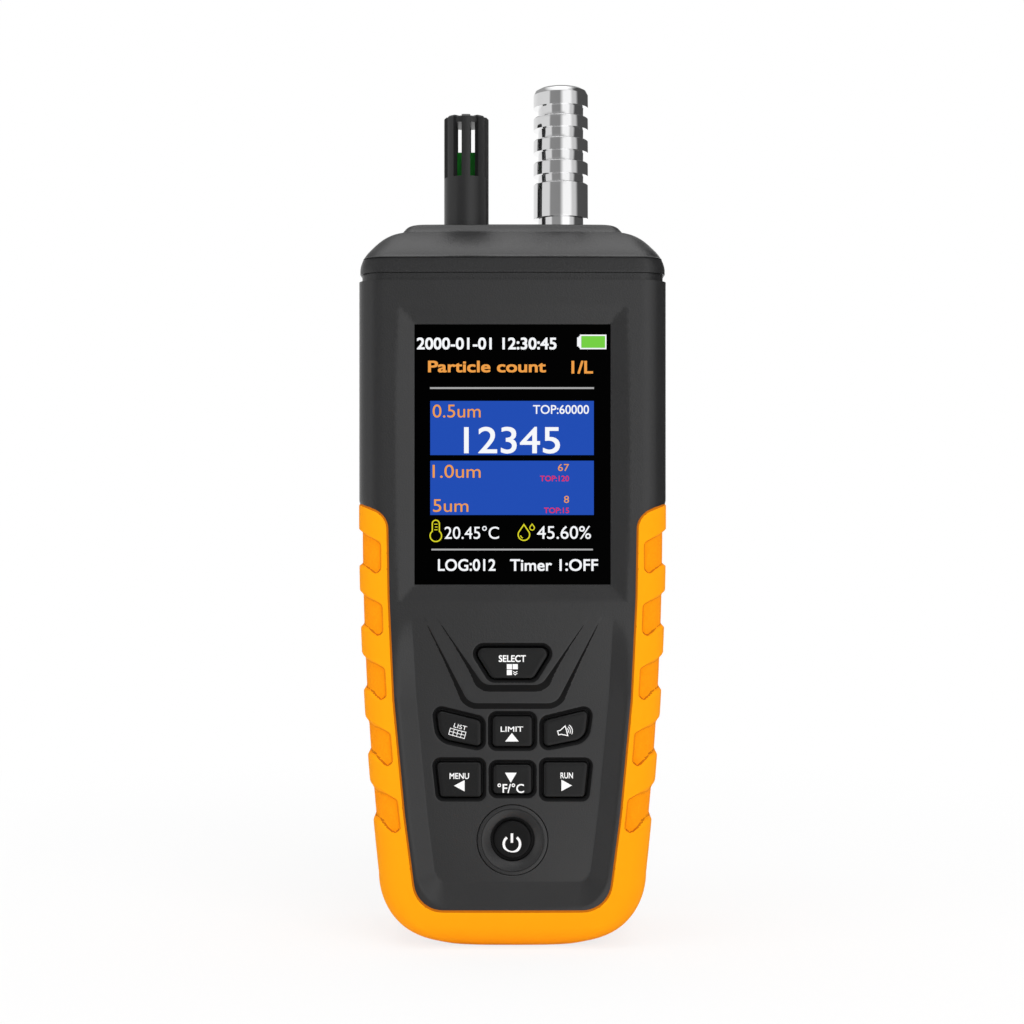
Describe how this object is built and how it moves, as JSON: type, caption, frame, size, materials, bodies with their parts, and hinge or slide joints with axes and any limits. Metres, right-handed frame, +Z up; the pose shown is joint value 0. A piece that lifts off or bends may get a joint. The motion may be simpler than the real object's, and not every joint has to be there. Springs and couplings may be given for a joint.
{
  "type": "air quality monitor",
  "caption": "Handheld particle counter with a colour screen, a dished key field, an orange grip boot, a barbed air inlet nozzle and a caged climate probe.",
  "frame": {"origin": "centre of the flat underside, which is the bottom centre of the part's box", "axes": "+Z up along the case, -Y out of the screen and keys, +X to the right seen from the front"},
  "size_m": [0.0768, 0.0414, 0.217],
  "materials": {
    "case_plastic": "fine spark texture, satin",
    "boot_rubber": "fine matte grain",
    "key_plastic": "smooth satin",
    "window": "polished",
    "display_metal": "satin",
    "board": "solder mask",
    "screw_steel": "zinc plated",
    "silicone": "soft matte",
    "seal_rubber": "soft matte",
    "black_plastic": "matte",
    "chrome": "turned and polished",
    "sensor_chip": "matte",
    "sensor_metal": "cast, satin",
    "brass": "turned",
    "rotor_plastic": "matte",
    "battery_wrap": "shrink film"
  },
  "bodies": {
    "case": {"front_housing": "case_plastic", "rear_housing": "case_plastic", "top_cap": "case_plastic", "rubber_boot": "boot_rubber", "housing_seal": "seal_rubber", "display_window": "window", "display_gasket": "seal_rubber", "display_panel": "display_metal", "main_board": "board", "board_screws": "screw_steel", "key_web": "silicone", "tact_switches": "screw_steel", "power_ring": "case_plastic", "buzzer": "black_plastic", "usb_socket": "screw_steel", "inlet_nozzle": "chrome", "nozzle_nut": "screw_steel", "nozzle_seal": "seal_rubber", "inlet_tube": "silicone", "probe_cage": "black_plastic", "probe_seal": "seal_rubber", "probe_board": "board", "humidity_sensor": "sensor_chip", "sensor_body": "sensor_metal", "laser_module": "brass", "photodetector": "board", "blower_housing": "black_plastic", "outlet_grille": "black_plastic", "battery_pack": "battery_wrap", "battery_cover": "case_plastic", "battery_cover_screws": "screw_steel", "tripod_insert": "brass", "housing_screws": "screw_steel"},
    "select_key": {"select_key": "key_plastic"},
    "list_key": {"list_key": "key_plastic"},
    "up_key": {"up_key": "key_plastic"},
    "sound_key": {"sound_key": "key_plastic"},
    "left_key": {"left_key": "key_plastic"},
    "down_key": {"down_key": "key_plastic"},
    "right_key": {"right_key": "key_plastic"},
    "power_key": {"power_key": "key_plastic"},
    "blower_rotor": {"blower_rotor": "rotor_plastic"}
  },
  "joints": [
    {"name": "select_press", "type": "slide", "parent": "case", "child": "select_key", "axis": [0, 1, 0], "range_m": [0, 0.0008], "stiffness_N_per_m": 1500, "springref_m": -0.0003},
    {"name": "list_press", "type": "slide", "parent": "case", "child": "list_key", "axis": [0, 1, 0], "range_m": [0, 0.0008], "stiffness_N_per_m": 1500, "springref_m": -0.0003},
    {"name": "up_press", "type": "slide", "parent": "case", "child": "up_key", "axis": [0, 1, 0], "range_m": [0, 0.0008], "stiffness_N_per_m": 1500, "springref_m": -0.0003},
    {"name": "sound_press", "type": "slide", "parent": "case", "child": "sound_key", "axis": [0, 1, 0], "range_m": [0, 0.0008], "stiffness_N_per_m": 1500, "springref_m": -0.0003},
    {"name": "left_press", "type": "slide", "parent": "case", "child": "left_key", "axis": [0, 1, 0], "range_m": [0, 0.0008], "stiffness_N_per_m": 1500, "springref_m": -0.0003},
    {"name": "down_press", "type": "slide", "parent": "case", "child": "down_key", "axis": [0, 1, 0], "range_m": [0, 0.0008], "stiffness_N_per_m": 1500, "springref_m": -0.0003},
    {"name": "right_press", "type": "slide", "parent": "case", "child": "right_key", "axis": [0, 1, 0], "range_m": [0, 0.0008], "stiffness_N_per_m": 1500, "springref_m": -0.0003},
    {"name": "power_press", "type": "slide", "parent": "case", "child": "power_key", "axis": [0, 1, 0], "range_m": [0, 0.0008], "stiffness_N_per_m": 1500, "springref_m": -0.0003},
    {"name": "rotor_spin", "type": "hinge", "parent": "case", "child": "blower_rotor", "pos_m": [-0.0185, 0, 0.1315], "axis": [0, 1, 0], "continuous": true}
  ]
}
